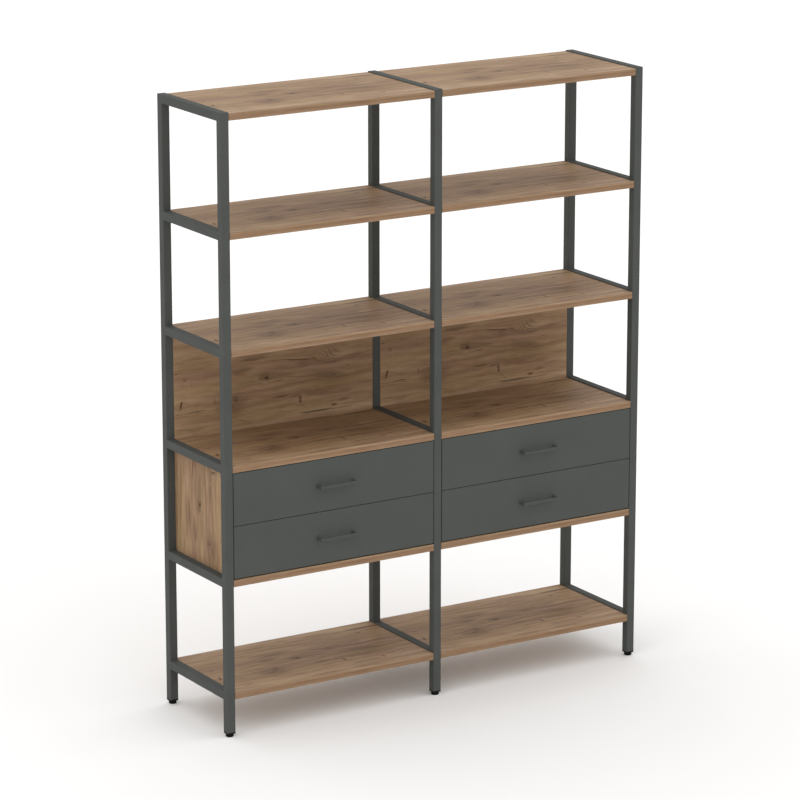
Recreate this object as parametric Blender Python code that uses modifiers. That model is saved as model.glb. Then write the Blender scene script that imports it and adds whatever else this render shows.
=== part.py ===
"""Shelving unit with two bays: three welded ladder frames of square steel tube carry six boards a bay,
a back panel closes two levels, and each bay holds two drawers on roller runners."""
import math

import bmesh
import bpy
from mathutils import Matrix, Vector

# Clearance left between pieces that touch
GAP = 0.0003

# Ladder frames
TUBE = 0.025
TUBE_WALL = 0.0015
TUBE_CORNER = 0.0015
BAY_WIDTH = 0.660
DEPTH = 0.360
LEVELS = 6
LEVEL_PITCH = 0.330
LOWEST_TOP = 0.130
RUNG_STEP = 0.003

# Steel tabs that carry the boards
TAB_LENGTH = 0.030
TAB_REACH = 0.022
TAB_THICK = 0.0015
TAB_INSET = 0.045
TAB_HOLE_RADIUS = 0.0023
TAB_ROOT_SHARE = 0.75

# Boards and panels
BOARD_THICK = 0.020
PANEL_THICK = 0.016
BOARD_EDGE = 0.0008
DRAWER_LEVEL = 1
NICHE_LEVEL = 2

# Feet
FOOT_HEIGHT = 0.0135
FOOT_FLANGE = 0.004
FOOT_INSERT = 0.022
GLIDE_RADIUS = 0.0118
GLIDE_WAIST = 0.0112
GLIDE_SOLE_RADIUS = 0.0095
GLIDE_ROUND = 0.0022

# Drawer fronts and handles
FRONT_THICK = 0.018
FRONT_REVEAL = 0.002
FRONT_BELOW_GAP = 0.0035
FRONT_BETWEEN_GAP = 0.0015
CASE_SETBACK = 0.002
HANDLE_LENGTH = 0.120
HANDLE_REACH = 0.024
HANDLE_BAR = 0.006
HANDLE_HEIGHT = 0.009
HANDLE_EDGE = 0.0008

# Steel drawer sides with their ledge and rear roller
SIDE_CLEARANCE = 0.0127
SIDE_STEEL = 0.0012
SIDE_TOP_DROP = 0.0185
SIDE_REAR_CLEARANCE = 0.0167
SIDE_RISE = 0.014
SIDE_HEM = 0.006
SIDE_FLANGE = 0.014
LEDGE_REACH = 0.0090
DRAWER_BOTTOM_THICK = 0.012
DRAWER_BACK_THICK = 0.016

# Cabinet runners with their front roller
RUNNER_INSET = 0.002
RUNNER_REAR_CLEARANCE = 0.013
RUNNER_STEEL = 0.0012
RUNNER_HEIGHT = 0.026
RUNNER_TRACK = 0.0112
ROLLER_RADIUS = 0.0085
ROLLER_WIDTH = 0.006
ROLLER_PIN_RADIUS = 0.0025
ROLLER_INSET = 0.012
ROLLER_STANDOFF = 0.0010
ROLLER_PLAY = 0.0008

# Smoothness of bevels and turned pieces
STEEL_EDGE_SEGMENTS = 2
BOARD_EDGE_SEGMENTS = 1
ROUND_SIDES = 16
GLIDE_SIDES = 24
HOLE_SIDES = 8
MERGE_DISTANCE = 0.000005

FRONT_Y = (HANDLE_REACH - DEPTH) / 2.0
BACK_Y = FRONT_Y + DEPTH
BACK_PANEL_Y = BACK_Y - TUBE
BEHIND_FRONT_Y = FRONT_Y + FRONT_THICK + GAP
SIDE_END_Y = BACK_PANEL_Y - SIDE_REAR_CLEARANCE
SIDES = {"left": -1, "right": 1}
FRAMES = {"left": -1, "middle": 0, "right": 1}


def collection(name):
    made = bpy.data.collections.new(name)
    bpy.context.scene.collection.children.link(made)
    return made


def linear(hex_colour):
    """Linear RGBA of an sRGB hex colour."""
    values = [int(hex_colour[i:i + 2], 16) / 255.0 for i in (1, 3, 5)]
    return [v / 12.92 if v <= 0.04045 else ((v + 0.055) / 1.055) ** 2.4 for v in values] + [1.0]


def finish(name, hex_colour, roughness, metallic=0.0):
    """A Principled material, made once and shared by the pieces that have it."""
    material = bpy.data.materials.get(name)
    if material is None:
        material = bpy.data.materials.new(name)
        material.use_nodes = True
        shader = material.node_tree.nodes["Principled BSDF"]
        shader.inputs["Base Color"].default_value = linear(hex_colour)
        shader.inputs["Roughness"].default_value = roughness
        shader.inputs["Metallic"].default_value = metallic
    return material


def powder_coat():
    return finish("powder_coat", "#535550", 0.55, 0.2)


def oak_laminate():
    return finish("oak_laminate", "#97795c", 0.6)


def front_laminate():
    return finish("front_laminate", "#545651", 0.55)


def foot_plastic():
    return finish("foot_plastic", "#161615", 0.5)


def drawer_steel():
    return finish("drawer_steel", "#8d908e", 0.45, 0.3)


def runner_steel():
    return finish("runner_steel", "#b4b6b5", 0.4, 0.8)


def drawer_board():
    return finish("drawer_board", "#a9a59b", 0.65)


def add_piece(name, bm, material, parent=None, group=None):
    """Makes an object of the bmesh, with its origin at the middle of its own box."""
    corners = [vert.co for vert in bm.verts]
    low = Vector([min(co[axis] for co in corners) for axis in range(3)])
    high = Vector([max(co[axis] for co in corners) for axis in range(3)])
    centre = (low + high) / 2.0
    bmesh.ops.translate(bm, verts=bm.verts, vec=-centre)
    bmesh.ops.recalc_face_normals(bm, faces=bm.faces)
    mesh = bpy.data.meshes.new(name)
    bm.to_mesh(mesh)
    bm.free()
    piece = bpy.data.objects.new(name, mesh)
    (group or PARTS).objects.link(piece)
    piece.location = centre - parent.location if parent else centre
    piece.parent = parent
    if material:
        mesh.materials.append(material)
    return piece


def box_mesh(low, high, bm=None):
    """A cube primitive stretched between two corners, added to the bmesh if one is given."""
    bm = bm or bmesh.new()
    low, high = Vector(low), Vector(high)
    place = Matrix.Translation((low + high) / 2.0) @ Matrix.Diagonal((*(high - low), 1.0))
    bmesh.ops.create_cube(bm, size=1.0, matrix=place)
    return bm


def rod_mesh(centre, radius, length, sides, axis="X", bm=None):
    """A closed cylinder round its centre, along X or Z."""
    bm = bm or bmesh.new()
    turn = Matrix.Rotation(math.pi / 2.0, 4, "Y") if axis == "X" else Matrix.Identity(4)
    bmesh.ops.create_cone(
        bm, cap_ends=True, segments=sides, radius1=radius, radius2=radius, depth=length,
        matrix=Matrix.Translation(centre) @ turn)
    return bm


def profile_mesh(columns, rows, is_solid, start, end, axes):
    """The solid cells between column and row lines, drawn out from start to end.
    axes names where the columns, the rows and the length run, such as YZX."""
    bm = bmesh.new()
    across, up = len(columns) - 1, len(rows) - 1
    bmesh.ops.create_grid(bm, x_segments=across, y_segments=up, size=0.5)
    empty = []
    for face in bm.faces:
        middle = face.calc_center_median()
        if not is_solid(int((middle.x + 0.5) * across), int((middle.y + 0.5) * up)):
            empty.append(face)
    for vert in bm.verts:
        column, row = round((vert.co.x + 0.5) * across), round((vert.co.y + 0.5) * up)
        vert.co = (columns[column], rows[row], start)
    bmesh.ops.delete(bm, geom=empty, context="FACES")
    drawn = bmesh.ops.extrude_face_region(bm, geom=bm.faces[:])
    moved = [item for item in drawn["geom"] if isinstance(item, bmesh.types.BMVert)]
    bmesh.ops.translate(bm, verts=moved, vec=(0.0, 0.0, end - start))
    order = Matrix([[1.0 if axes[column] == name else 0.0 for column in range(3)] for name in "XYZ"])
    bmesh.ops.transform(bm, matrix=order.to_4x4(), verts=bm.verts)
    return bm


def soften(piece, width, segments=STEEL_EDGE_SEGMENTS):
    """Rounds the sharp edges."""
    bevel = piece.modifiers.new("soft_edges", "BEVEL")
    bevel.width = width
    bevel.segments = segments
    bevel.limit_method = "ANGLE"
    bevel.use_clamp_overlap = True


def smooth_round(piece):
    piece.data.shade_smooth()
    piece.data.set_sharp_from_angle(angle=math.radians(40.0))


def tool(name, bm):
    """A helper solid for a Boolean, left out of the model."""
    made = add_piece(name, bm, None, group=CUTTERS)
    made.hide_render = True
    made.display_type = "WIRE"
    return made


def combine(piece, operation, other):
    boolean = piece.modifiers.new(operation.lower(), "BOOLEAN")
    boolean.operation = operation
    boolean.object = other
    boolean.solver = "EXACT"


def merge_seams(piece):
    """Joins the corner points that the cuts leave doubled."""
    weld = piece.modifiers.new("seams", "WELD")
    weld.merge_threshold = MERGE_DISTANCE


def level_top(level):
    """Height of a board's top face, level 0 being the lowest."""
    return LOWEST_TOP + level * LEVEL_PITCH


def frame_middle_x(side):
    return side * (BAY_WIDTH + TUBE)


def bay_edges(side):
    """The inner faces of the two frames that stand beside a bay."""
    middle = side * (BAY_WIDTH + TUBE) / 2.0
    return middle - BAY_WIDTH / 2.0, middle + BAY_WIDTH / 2.0


def ladder_mesh(x, inset, foot_z):
    """The outline of two posts and their rungs, drawn in by inset on every side."""
    columns = [
        FRONT_Y + inset, FRONT_Y + TUBE - inset,
        BACK_Y - TUBE + inset, BACK_Y - inset]
    rows = [foot_z]
    for level in range(LEVELS):
        rung_top = level_top(level) + RUNG_STEP
        rows += [rung_top - TUBE + inset, rung_top - inset]
    half = TUBE / 2.0 - inset
    return profile_mesh(
        columns, rows, lambda column, row: column != 1 or row % 2 == 1, x - half, x + half, "YZX")


def tab_places():
    """Middles of the two tabs along a rung."""
    reach = TUBE + TAB_INSET + TAB_LENGTH / 2.0
    return FRONT_Y + reach, BACK_Y - reach


def tab_meshes(x, hands):
    """The tabs on a frame, each with its root in the tube's wall, and the rods that pierce them."""
    tabs, holes = bmesh.new(), bmesh.new()
    for level in range(LEVELS):
        top = level_top(level) - BOARD_THICK - GAP
        for y in tab_places():
            for hand in hands:
                root = x + hand * (TUBE / 2.0 - TUBE_WALL * TAB_ROOT_SHARE)
                tip = x + hand * (TUBE / 2.0 + TAB_REACH)
                low = (min(root, tip), y - TAB_LENGTH / 2.0, top - TAB_THICK)
                high = (max(root, tip), y + TAB_LENGTH / 2.0, top)
                box_mesh(low, high, tabs)
                centre = (x + hand * (TUBE + TAB_REACH) / 2.0, y, top - TAB_THICK / 2.0)
                rod_mesh(centre, TAB_HOLE_RADIUS, TAB_REACH, HOLE_SIDES, "Z", holes)
    return tabs, holes


def make_frame(name, side):
    """Two posts and six rungs welded into a hollow ladder that is open at the feet."""
    x = frame_middle_x(side)
    hands = [hand for hand in SIDES.values() if hand != side]
    frame = add_piece("frame_" + name, ladder_mesh(x, 0.0, FOOT_HEIGHT), powder_coat())
    soften(frame, TUBE_CORNER)
    bore = ladder_mesh(x, TUBE_WALL, FOOT_HEIGHT - TUBE)
    tabs, holes = tab_meshes(x, hands)
    combine(frame, "DIFFERENCE", tool("bore_" + name, bore))
    combine(frame, "UNION", tool("tabs_" + name, tabs))
    combine(frame, "DIFFERENCE", tool("tab_holes_" + name, holes))
    merge_seams(frame)


def make_foot(name, x, y):
    """A moulded plug: an insert in the tube, a square flange and a round glide, all in one piece."""
    flange_z = FOOT_HEIGHT - GAP
    glide_top = flange_z - FOOT_FLANGE
    half = TUBE / 2.0
    insert = half - TUBE_WALL - GAP
    overlap = FOOT_FLANGE / 2.0
    profile = [
        (0.0, glide_top + overlap), (GLIDE_RADIUS, glide_top + overlap), (GLIDE_RADIUS, glide_top),
        (GLIDE_WAIST, GLIDE_ROUND)]
    for step in (1, 2, 3):
        angle = step * math.pi / 6.0
        reach = GLIDE_WAIST - GLIDE_SOLE_RADIUS
        profile.append((GLIDE_SOLE_RADIUS + reach * math.cos(angle), GLIDE_ROUND * (1.0 - math.sin(angle))))
    profile.append((0.0, 0.0))
    bm = bmesh.new()
    verts = [bm.verts.new((radius, 0.0, z)) for radius, z in profile]
    for first, second in zip(verts, verts[1:]):
        bm.edges.new((first, second))
    mesh = bpy.data.meshes.new(name)
    bm.to_mesh(mesh)
    bm.free()
    mesh.materials.append(foot_plastic())
    foot = bpy.data.objects.new(name, mesh)
    PARTS.objects.link(foot)
    foot.location = (x, y, 0.0)
    turn = foot.modifiers.new("turned", "SCREW")
    turn.steps = GLIDE_SIDES
    turn.render_steps = GLIDE_SIDES
    turn.use_merge_vertices = True
    turn.merge_threshold = MERGE_DISTANCE
    flange = box_mesh((x - half, y - half, glide_top), (x + half, y + half, flange_z))
    plug = box_mesh(
        (x - insert, y - insert, flange_z - overlap), (x + insert, y + insert, flange_z + FOOT_INSERT))
    combine(foot, "UNION", tool("flange_" + name, flange))
    combine(foot, "UNION", tool("insert_" + name, plug))


def make_board(name, low, high, material, parent=None):
    """A flat board with banded, slightly rounded edges."""
    board = add_piece(name, box_mesh(low, high), material, parent)
    soften(board, BOARD_EDGE, BOARD_EDGE_SEGMENTS)
    return board


def make_shelves(bay, side):
    left, right = bay_edges(side)
    for level in range(LEVELS):
        top = level_top(level)
        back = BACK_PANEL_Y - GAP if level == NICHE_LEVEL else BACK_Y
        make_board(
            "shelf_{}_{}".format(level + 1, bay),
            (left + GAP, FRONT_Y, top - BOARD_THICK), (right - GAP, back, top), oak_laminate())


def make_back_panel(bay, side):
    """One board behind the drawers and the open space above them."""
    left, right = bay_edges(side)
    low_z = level_top(DRAWER_LEVEL) + GAP
    high_z = level_top(NICHE_LEVEL + 1) - BOARD_THICK - GAP
    make_board(
        "back_panel_" + bay, (left + GAP, BACK_PANEL_Y, low_z),
        (right - GAP, BACK_PANEL_Y + PANEL_THICK, high_z), oak_laminate())


def case_panel_x(side, hand):
    """Outer and inner face of a drawer block's side panel; hand is -1 at the bay's left end."""
    outer = bay_edges(side)[0 if hand < 0 else 1] - hand * GAP
    return outer, outer - hand * PANEL_THICK


def make_case_panels(bay, side):
    """The two upright panels between which the drawers run, standing against the frames."""
    low_z = level_top(DRAWER_LEVEL) + GAP
    high_z = level_top(NICHE_LEVEL) - BOARD_THICK - TAB_THICK - 2.0 * GAP
    front = FRONT_Y + FRONT_THICK + CASE_SETBACK
    for hand_name, hand in SIDES.items():
        outer, inner = case_panel_x(side, hand)
        make_board(
            "case_panel_{}_{}".format(bay, hand_name), (min(outer, inner), front, low_z),
            (max(outer, inner), BACK_PANEL_Y - GAP, high_z), oak_laminate())


def front_height():
    """Height of one of the two fronts that fill the space between two boards."""
    opening = LEVEL_PITCH - BOARD_THICK
    return (opening - FRONT_BELOW_GAP - FRONT_BETWEEN_GAP - FRONT_REVEAL) / 2.0


def side_height():
    """Height of a drawer side, whose top stays below the front's top."""
    return front_height() - SIDE_RISE - SIDE_TOP_DROP


def front_low_z(tier):
    """Lower edge of a front, tier 0 being the lower drawer."""
    lowest = level_top(DRAWER_LEVEL) + FRONT_BELOW_GAP
    return lowest + tier * (front_height() + FRONT_BETWEEN_GAP)


def roller(name, x, y, z, length_from):
    """Tool solids for a roller and the pin that ties it to its steel at length_from."""
    wheel = tool("wheel_" + name, rod_mesh((x, y, z), ROLLER_RADIUS, ROLLER_WIDTH, ROUND_SIDES))
    middle = (x + length_from) / 2.0
    pin = rod_mesh((middle, y, z), ROLLER_PIN_RADIUS, abs(x - length_from), HOLE_SIDES)
    return wheel, tool("pin_" + name, pin)


def drawer_levels(tier):
    """Heights that the runner and the drawer side share."""
    base = front_low_z(tier) + SIDE_RISE
    track = base + RUNNER_STEEL
    drawer_roller = track + GAP + ROLLER_RADIUS
    ledge = drawer_roller + ROLLER_RADIUS + ROLLER_PLAY
    cabinet_roller = ledge - GAP - ROLLER_RADIUS
    return base, drawer_roller, ledge, cabinet_roller


def make_runner(name, side, hand, tier):
    """The fixed runner on a case panel: an L-shaped steel track with a roller at its front end."""
    inner = case_panel_x(side, hand)[1]
    base, _, _, roller_z = drawer_levels(tier)
    columns = [inner - hand * distance for distance in (GAP, GAP + RUNNER_STEEL, RUNNER_TRACK)]
    rows = [base, base + RUNNER_STEEL, base + RUNNER_HEIGHT]
    start = FRONT_Y + FRONT_THICK + CASE_SETBACK + RUNNER_INSET
    end = BACK_PANEL_Y - RUNNER_REAR_CLEARANCE
    bm = profile_mesh(
        columns, rows, lambda column, row: column == 0 or row == 0, start, end, "XZY")
    runner = add_piece("runner_" + name, bm, runner_steel())
    wheel_x = inner - hand * (GAP + RUNNER_STEEL + ROLLER_STANDOFF + ROLLER_WIDTH / 2.0)
    pin_x = inner - hand * (GAP + RUNNER_STEEL / 2.0)
    wheel, pin = roller("runner_" + name, wheel_x, start + ROLLER_INSET, roller_z, pin_x)
    combine(runner, "UNION", pin)
    combine(runner, "UNION", wheel)
    smooth_round(runner)


def make_drawer_side(name, side, hand, tier, parent):
    """A folded steel drawer side: hem on top, flange under the bottom, ledge and roller outside."""
    inner = case_panel_x(side, hand)[1]
    base, roller_z, ledge, _ = drawer_levels(tier)
    web = SIDE_CLEARANCE
    distances = (web - LEDGE_REACH, web, web + SIDE_STEEL, web + SIDE_HEM, web + SIDE_FLANGE)
    columns = [inner - hand * distance for distance in distances]
    top = base + side_height()
    rows = [base, base + SIDE_STEEL, ledge, ledge + SIDE_STEEL, top - SIDE_STEEL, top]

    def is_steel(column, row):
        solid_rows = {0: (2,), 1: (0, 1, 2, 3, 4), 2: (0, 4), 3: (0,)}
        return row in solid_rows[column]

    bm = profile_mesh(columns, rows, is_steel, BEHIND_FRONT_Y, SIDE_END_Y, "XZY")
    steel = add_piece(name, bm, drawer_steel(), parent)
    wheel_x = inner - hand * (web - ROLLER_STANDOFF - ROLLER_WIDTH / 2.0)
    pin_x = inner - hand * (web + SIDE_STEEL / 2.0)
    wheel, pin = roller(name, wheel_x, SIDE_END_Y - ROLLER_INSET, roller_z, pin_x)
    combine(steel, "UNION", pin)
    combine(steel, "UNION", wheel)
    smooth_round(steel)


def make_handle(name, x, z, parent):
    """A bridge handle of flat bar: a front stretch between two short legs."""
    half = HANDLE_LENGTH / 2.0
    columns = [x - half, x - half + HANDLE_BAR, x + half - HANDLE_BAR, x + half]
    rows = [FRONT_Y - HANDLE_REACH, FRONT_Y - HANDLE_REACH + HANDLE_BAR, FRONT_Y - GAP]
    bm = profile_mesh(
        columns, rows, lambda column, row: column != 1 or row == 0,
        z - HANDLE_HEIGHT / 2.0, z + HANDLE_HEIGHT / 2.0, "XYZ")
    handle = add_piece(name, bm, powder_coat(), parent)
    soften(handle, HANDLE_EDGE)


def make_drawer(bay, side, tier_name, tier):
    """A front with its handle, two steel sides, a back and a bottom, under one empty."""
    name = "drawer_{}_{}".format(bay, tier_name)
    left, right = bay_edges(side)
    middle = (left + right) / 2.0
    low_z = front_low_z(tier)
    high_z = low_z + front_height()
    slide = bpy.data.objects.new(name + "_slide", None)
    slide.location = (middle, FRONT_Y, (low_z + high_z) / 2.0)
    PARTS.objects.link(slide)
    make_board(
        name + "_front", (left + FRONT_REVEAL, FRONT_Y, low_z),
        (right - FRONT_REVEAL, FRONT_Y + FRONT_THICK, high_z), front_laminate(), slide)
    make_handle(name + "_handle", middle, slide.location.z, slide)
    for hand_name, hand in SIDES.items():
        make_runner("{}_{}_{}".format(bay, tier_name, hand_name), side, hand, tier)
        make_drawer_side("{}_side_{}".format(name, hand_name), side, hand, tier, slide)
    base = drawer_levels(tier)[0]
    web_face = SIDE_CLEARANCE + SIDE_STEEL + GAP
    inner_left = case_panel_x(side, -1)[1] + web_face
    inner_right = case_panel_x(side, 1)[1] - web_face
    bottom_z = base + SIDE_STEEL + GAP
    bottom_top = bottom_z + DRAWER_BOTTOM_THICK
    make_board(
        name + "_bottom", (inner_left, BEHIND_FRONT_Y, bottom_z), (inner_right, SIDE_END_Y, bottom_top),
        drawer_board(), slide)
    make_board(
        name + "_back", (inner_left, SIDE_END_Y - DRAWER_BACK_THICK, bottom_top + GAP),
        (inner_right, SIDE_END_Y, base + side_height() - SIDE_STEEL - GAP), drawer_board(), slide)


for old in list(bpy.data.objects):
    bpy.data.objects.remove(old, do_unlink=True)

PARTS = collection("shelving_unit")
CUTTERS = collection("cutters")

for frame_name, frame_side in FRAMES.items():
    make_frame(frame_name, frame_side)
    for post_name, post_y in (("front", FRONT_Y + TUBE / 2.0), ("rear", BACK_Y - TUBE / 2.0)):
        make_foot("foot_{}_{}".format(frame_name, post_name), frame_middle_x(frame_side), post_y)

for bay_name, bay_side in SIDES.items():
    make_shelves(bay_name, bay_side)
    make_back_panel(bay_name, bay_side)
    make_case_panels(bay_name, bay_side)
    for tier_index, tier_label in enumerate(("lower", "upper")):
        make_drawer(bay_name, bay_side, tier_label, tier_index)
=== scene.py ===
import math

import bmesh
import bpy
from mathutils import Matrix, Vector


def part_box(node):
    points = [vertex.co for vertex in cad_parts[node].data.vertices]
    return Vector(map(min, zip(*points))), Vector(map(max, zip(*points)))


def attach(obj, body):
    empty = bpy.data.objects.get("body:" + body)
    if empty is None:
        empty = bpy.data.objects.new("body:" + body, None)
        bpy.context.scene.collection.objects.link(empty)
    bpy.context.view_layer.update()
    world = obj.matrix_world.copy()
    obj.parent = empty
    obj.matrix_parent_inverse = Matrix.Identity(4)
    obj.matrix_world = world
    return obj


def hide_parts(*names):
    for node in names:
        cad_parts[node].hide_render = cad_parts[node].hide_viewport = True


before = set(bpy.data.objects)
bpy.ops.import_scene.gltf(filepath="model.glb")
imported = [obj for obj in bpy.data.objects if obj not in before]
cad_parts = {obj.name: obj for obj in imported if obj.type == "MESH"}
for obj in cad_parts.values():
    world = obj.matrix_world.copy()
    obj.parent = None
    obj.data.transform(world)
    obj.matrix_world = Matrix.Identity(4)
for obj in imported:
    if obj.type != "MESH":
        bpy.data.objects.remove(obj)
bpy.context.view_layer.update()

# Ladder frames
# Three ladders of 25 mm square steel tube stand at the ends and in the middle. The tubes are welded at every
# crossing, the beads are ground flush, and the whole ladder is powder coated in a matt grey-green.
MM = 0.001
TUBE = 25 * MM
TUBE_WALL = 1.5 * MM
TUBE_CORNER, CORNER_SEGMENTS = 1.5 * MM, 4
RUNG_RISE = 3 * MM  # a rung's top above the boards beside it
POST_BORE = 60 * MM  # how far up the open end is hollow here, past the plug
LEVELS = 6
BAYS = {"left": -1, "right": 1}
FRAMES = {"left": -1, "middle": 0, "right": 1}
SHARP_EDGE, SHARP_SHADING = math.radians(30), math.radians(35)
FRONT_Y, BACK_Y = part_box("frame_middle")[0].y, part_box("frame_middle")[1].y
TUBE_END_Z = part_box("frame_middle")[0].z
BOARD_TOPS = [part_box("shelf_{}_left".format(level + 1))[1].z for level in range(LEVELS)]
FRAME_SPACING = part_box("frame_right")[1].x - TUBE / 2


def linear(hex_colour):
    """Linear RGBA of an sRGB hex colour."""
    values = [int(hex_colour[i:i + 2], 16) / 255 for i in (1, 3, 5)]
    return [v / 12.92 if v <= 0.04045 else ((v + 0.055) / 1.055) ** 2.4 for v in values] + [1.0]


def add_node(tree, kind, inputs, out=0, stops=(), **settings):
    """Adds a shader node and returns one of its outputs. Inputs go by name, or by number where a node has
    several of one name. One that is a socket is linked, and any other is a value. Stops are the (position,
    colour) pairs of a colour ramp, its two ends first."""
    node = tree.nodes.new("ShaderNode" + kind)
    for name, value in settings.items():
        setattr(node, name, value)
    for index, (position, colour) in enumerate(stops):
        elements = node.color_ramp.elements
        element = elements[index] if index < 2 else elements.new(position)
        element.position = position
        element.color = linear(colour)
    for name, value in inputs.items():
        if isinstance(value, bpy.types.NodeSocket):
            tree.links.new(value, node.inputs[name])
        else:
            node.inputs[name].default_value = value
    return node.outputs[out] if len(node.outputs) else None


def make_finish(name, paint):
    """A material from a function that takes the tree and the object's own place, and returns the inputs of
    the surface."""
    material = bpy.data.materials.new(name)
    material.use_nodes = True
    tree = material.node_tree
    tree.nodes.clear()
    place = add_node(tree, "TexCoord", {}, "Object")
    surface = add_node(tree, "BsdfPrincipled", paint(tree, place))
    add_node(tree, "OutputMaterial", {"Surface": surface})
    return material


def powder_coat(tree, place):
    """Polyester powder, sprayed and baked: an even matt film with a fine orange peel of about half a
    millimetre, which only shows close up, and a faint cloudiness over hand-sized areas."""
    cloud = add_node(tree, "TexNoise", {"Vector": place, "Scale": 1 / (90 * MM)})
    peel = add_node(tree, "TexNoise", {"Vector": place, "Scale": 1 / (0.55 * MM), "Detail": 3.0})
    return {
        "Base Color": add_node(tree, "ValToRGB", {"Fac": cloud}, stops=((0.3, "#4c4e4b"), (0.7, "#505250"))),
        "Roughness": add_node(tree, "MapRange", {"Value": peel, "To Min": 0.56, "To Max": 0.70}),
        "Normal": add_node(tree, "Bump", {"Height": peel, "Distance": 0.03 * MM, "Strength": 0.6}),
        "IOR": 1.5, "Specular IOR Level": 0.045}


def drawn_profile(columns, rows, is_solid, start, end, axes):
    """The solid cells between column and row lines, drawn out from start to end.
    axes names where the columns, the rows and the length run, such as YZX."""
    bm = bmesh.new()
    across, up = len(columns) - 1, len(rows) - 1
    bmesh.ops.create_grid(bm, x_segments=across, y_segments=up, size=0.5)
    empty = []
    for face in bm.faces:
        middle = face.calc_center_median()
        if not is_solid(int((middle.x + 0.5) * across), int((middle.y + 0.5) * up)):
            empty.append(face)
    for vert in bm.verts:
        column, row = round((vert.co.x + 0.5) * across), round((vert.co.y + 0.5) * up)
        vert.co = (columns[column], rows[row], start)
    bmesh.ops.delete(bm, geom=empty, context="FACES")
    drawn = bmesh.ops.extrude_face_region(bm, geom=bm.faces[:])
    moved = [item for item in drawn["geom"] if isinstance(item, bmesh.types.BMVert)]
    bmesh.ops.translate(bm, verts=moved, vec=(0.0, 0.0, end - start))
    order = Matrix([[1.0 if axes[column] == name else 0.0 for column in range(3)] for name in "XYZ"])
    bmesh.ops.transform(bm, matrix=order.to_4x4(), verts=bm.verts)
    bmesh.ops.recalc_face_normals(bm, faces=bm.faces)
    return bm


def round_edges(bm, radius, segments, edges=None):
    """Rounds the sharp edges, or the given ones."""
    if edges is None:
        edges = [edge for edge in bm.edges if edge.is_manifold and edge.calc_face_angle() > SHARP_EDGE]
    bmesh.ops.bevel(
        bm, geom=edges, offset=radius, offset_type="OFFSET", segments=segments, profile=0.5,
        affect="EDGES", clamp_overlap=True, material=-1)


def join(bm, other):
    """Adds another bmesh to this one and frees it."""
    mesh = bpy.data.meshes.new("joining")
    other.to_mesh(mesh)
    other.free()
    bm.from_mesh(mesh)
    bpy.data.meshes.remove(mesh)


def add_piece(name, bm, materials, body, node=None):
    """Makes the bmesh a piece that rides on a body and, if a node is given, stands for it."""
    mesh = bpy.data.meshes.new(name)
    bm.to_mesh(mesh)
    bm.free()
    mesh.shade_smooth()
    mesh.set_sharp_from_angle(angle=SHARP_SHADING)
    piece = bpy.data.objects.new(name, mesh)
    bpy.context.scene.collection.objects.link(piece)
    for material in materials:
        mesh.materials.append(material)
    even = piece.modifiers.new("even_normals", "WEIGHTED_NORMAL")
    even.keep_sharp = True
    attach(piece, body)
    if node:
        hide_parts(node)
    return piece


def ladder(x):
    """Two posts and their rungs as one flush skin, with a bore up from each post's open end."""
    columns = [FRONT_Y, FRONT_Y + TUBE, BACK_Y - TUBE, BACK_Y]
    rows = [TUBE_END_Z]
    for top in BOARD_TOPS:
        rows += [top + RUNG_RISE - TUBE, top + RUNG_RISE]
    bm = drawn_profile(
        columns, rows, lambda column, row: column != 1 or row % 2 == 1, x - TUBE / 2, x + TUBE / 2, "YZX")
    near_end = TUBE_END_Z + MM
    drawn_corners = [
        edge for edge in bm.edges
        if edge.calc_face_angle() > SHARP_EDGE and max(vert.co.z for vert in edge.verts) > near_end]
    round_edges(bm, TUBE_CORNER, CORNER_SEGMENTS, drawn_corners)
    ends = [face for face in bm.faces if face.normal.z < -0.9 and face.calc_center_median().z < near_end]
    for face in ends:
        bmesh.ops.inset_region(bm, faces=[face], thickness=TUBE_WALL, use_even_offset=True)
        bore = bmesh.ops.extrude_discrete_faces(bm, faces=[face])["faces"]
        bmesh.ops.translate(bm, verts=bore[0].verts, vec=(0.0, 0.0, POST_BORE))
    return bm


POWDER_COAT = make_finish("powder_coated_steel", powder_coat)
for side_name, side in FRAMES.items():
    add_piece(
        "welded_ladder_" + side_name, ladder(side * FRAME_SPACING), [POWDER_COAT], "carcass",
        "frame_" + side_name)

# Board tabs
# Steel tabs, 30 by 22 mm and 1.5 mm thick, are welded inside each rung with one bead underneath. A board
# rests on four of them. They are punched for one screw each and coated with the frame.
TAB_LENGTH, TAB_REACH, TAB_THICK = 30 * MM, 22 * MM, 1.5 * MM
TAB_INSET = 45 * MM  # from a post to the tab beside it
TAB_HOLE, TAB_HOLE_SIDES = 2.3 * MM, 24
TAB_CORNER = 4 * MM
BEAD, BEAD_SIDES, BEAD_TAPER = 1.8 * MM, 10, 0.45
BOARD_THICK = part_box("shelf_1_left")[1].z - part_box("shelf_1_left")[0].z
GAP = 0.3 * MM  # the air that the CAD keeps between pieces that touch
SAME_PLACE = 0.01 * MM


def punched_plate(centre, half_x, half_y, hole, thick):
    """A rectangular plate with a round hole in its middle."""
    bm = bmesh.new()
    bmesh.ops.create_circle(bm, segments=TAB_HOLE_SIDES, radius=hole)
    outer = bmesh.ops.create_circle(bm, segments=TAB_HOLE_SIDES, radius=1.0)["verts"]
    for vert in outer:
        reach = max(abs(vert.co.x), abs(vert.co.y))
        vert.co.x *= half_x / reach
        vert.co.y *= half_y / reach
    bmesh.ops.bridge_loops(bm, edges=bm.edges[:])
    drawn = bmesh.ops.extrude_face_region(bm, geom=bm.faces[:])
    moved = [item for item in drawn["geom"] if isinstance(item, bmesh.types.BMVert)]
    bmesh.ops.translate(bm, verts=moved, vec=(0.0, 0.0, thick))
    bmesh.ops.recalc_face_normals(bm, faces=bm.faces)
    bmesh.ops.translate(bm, verts=bm.verts, vec=centre)
    return bm


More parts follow.
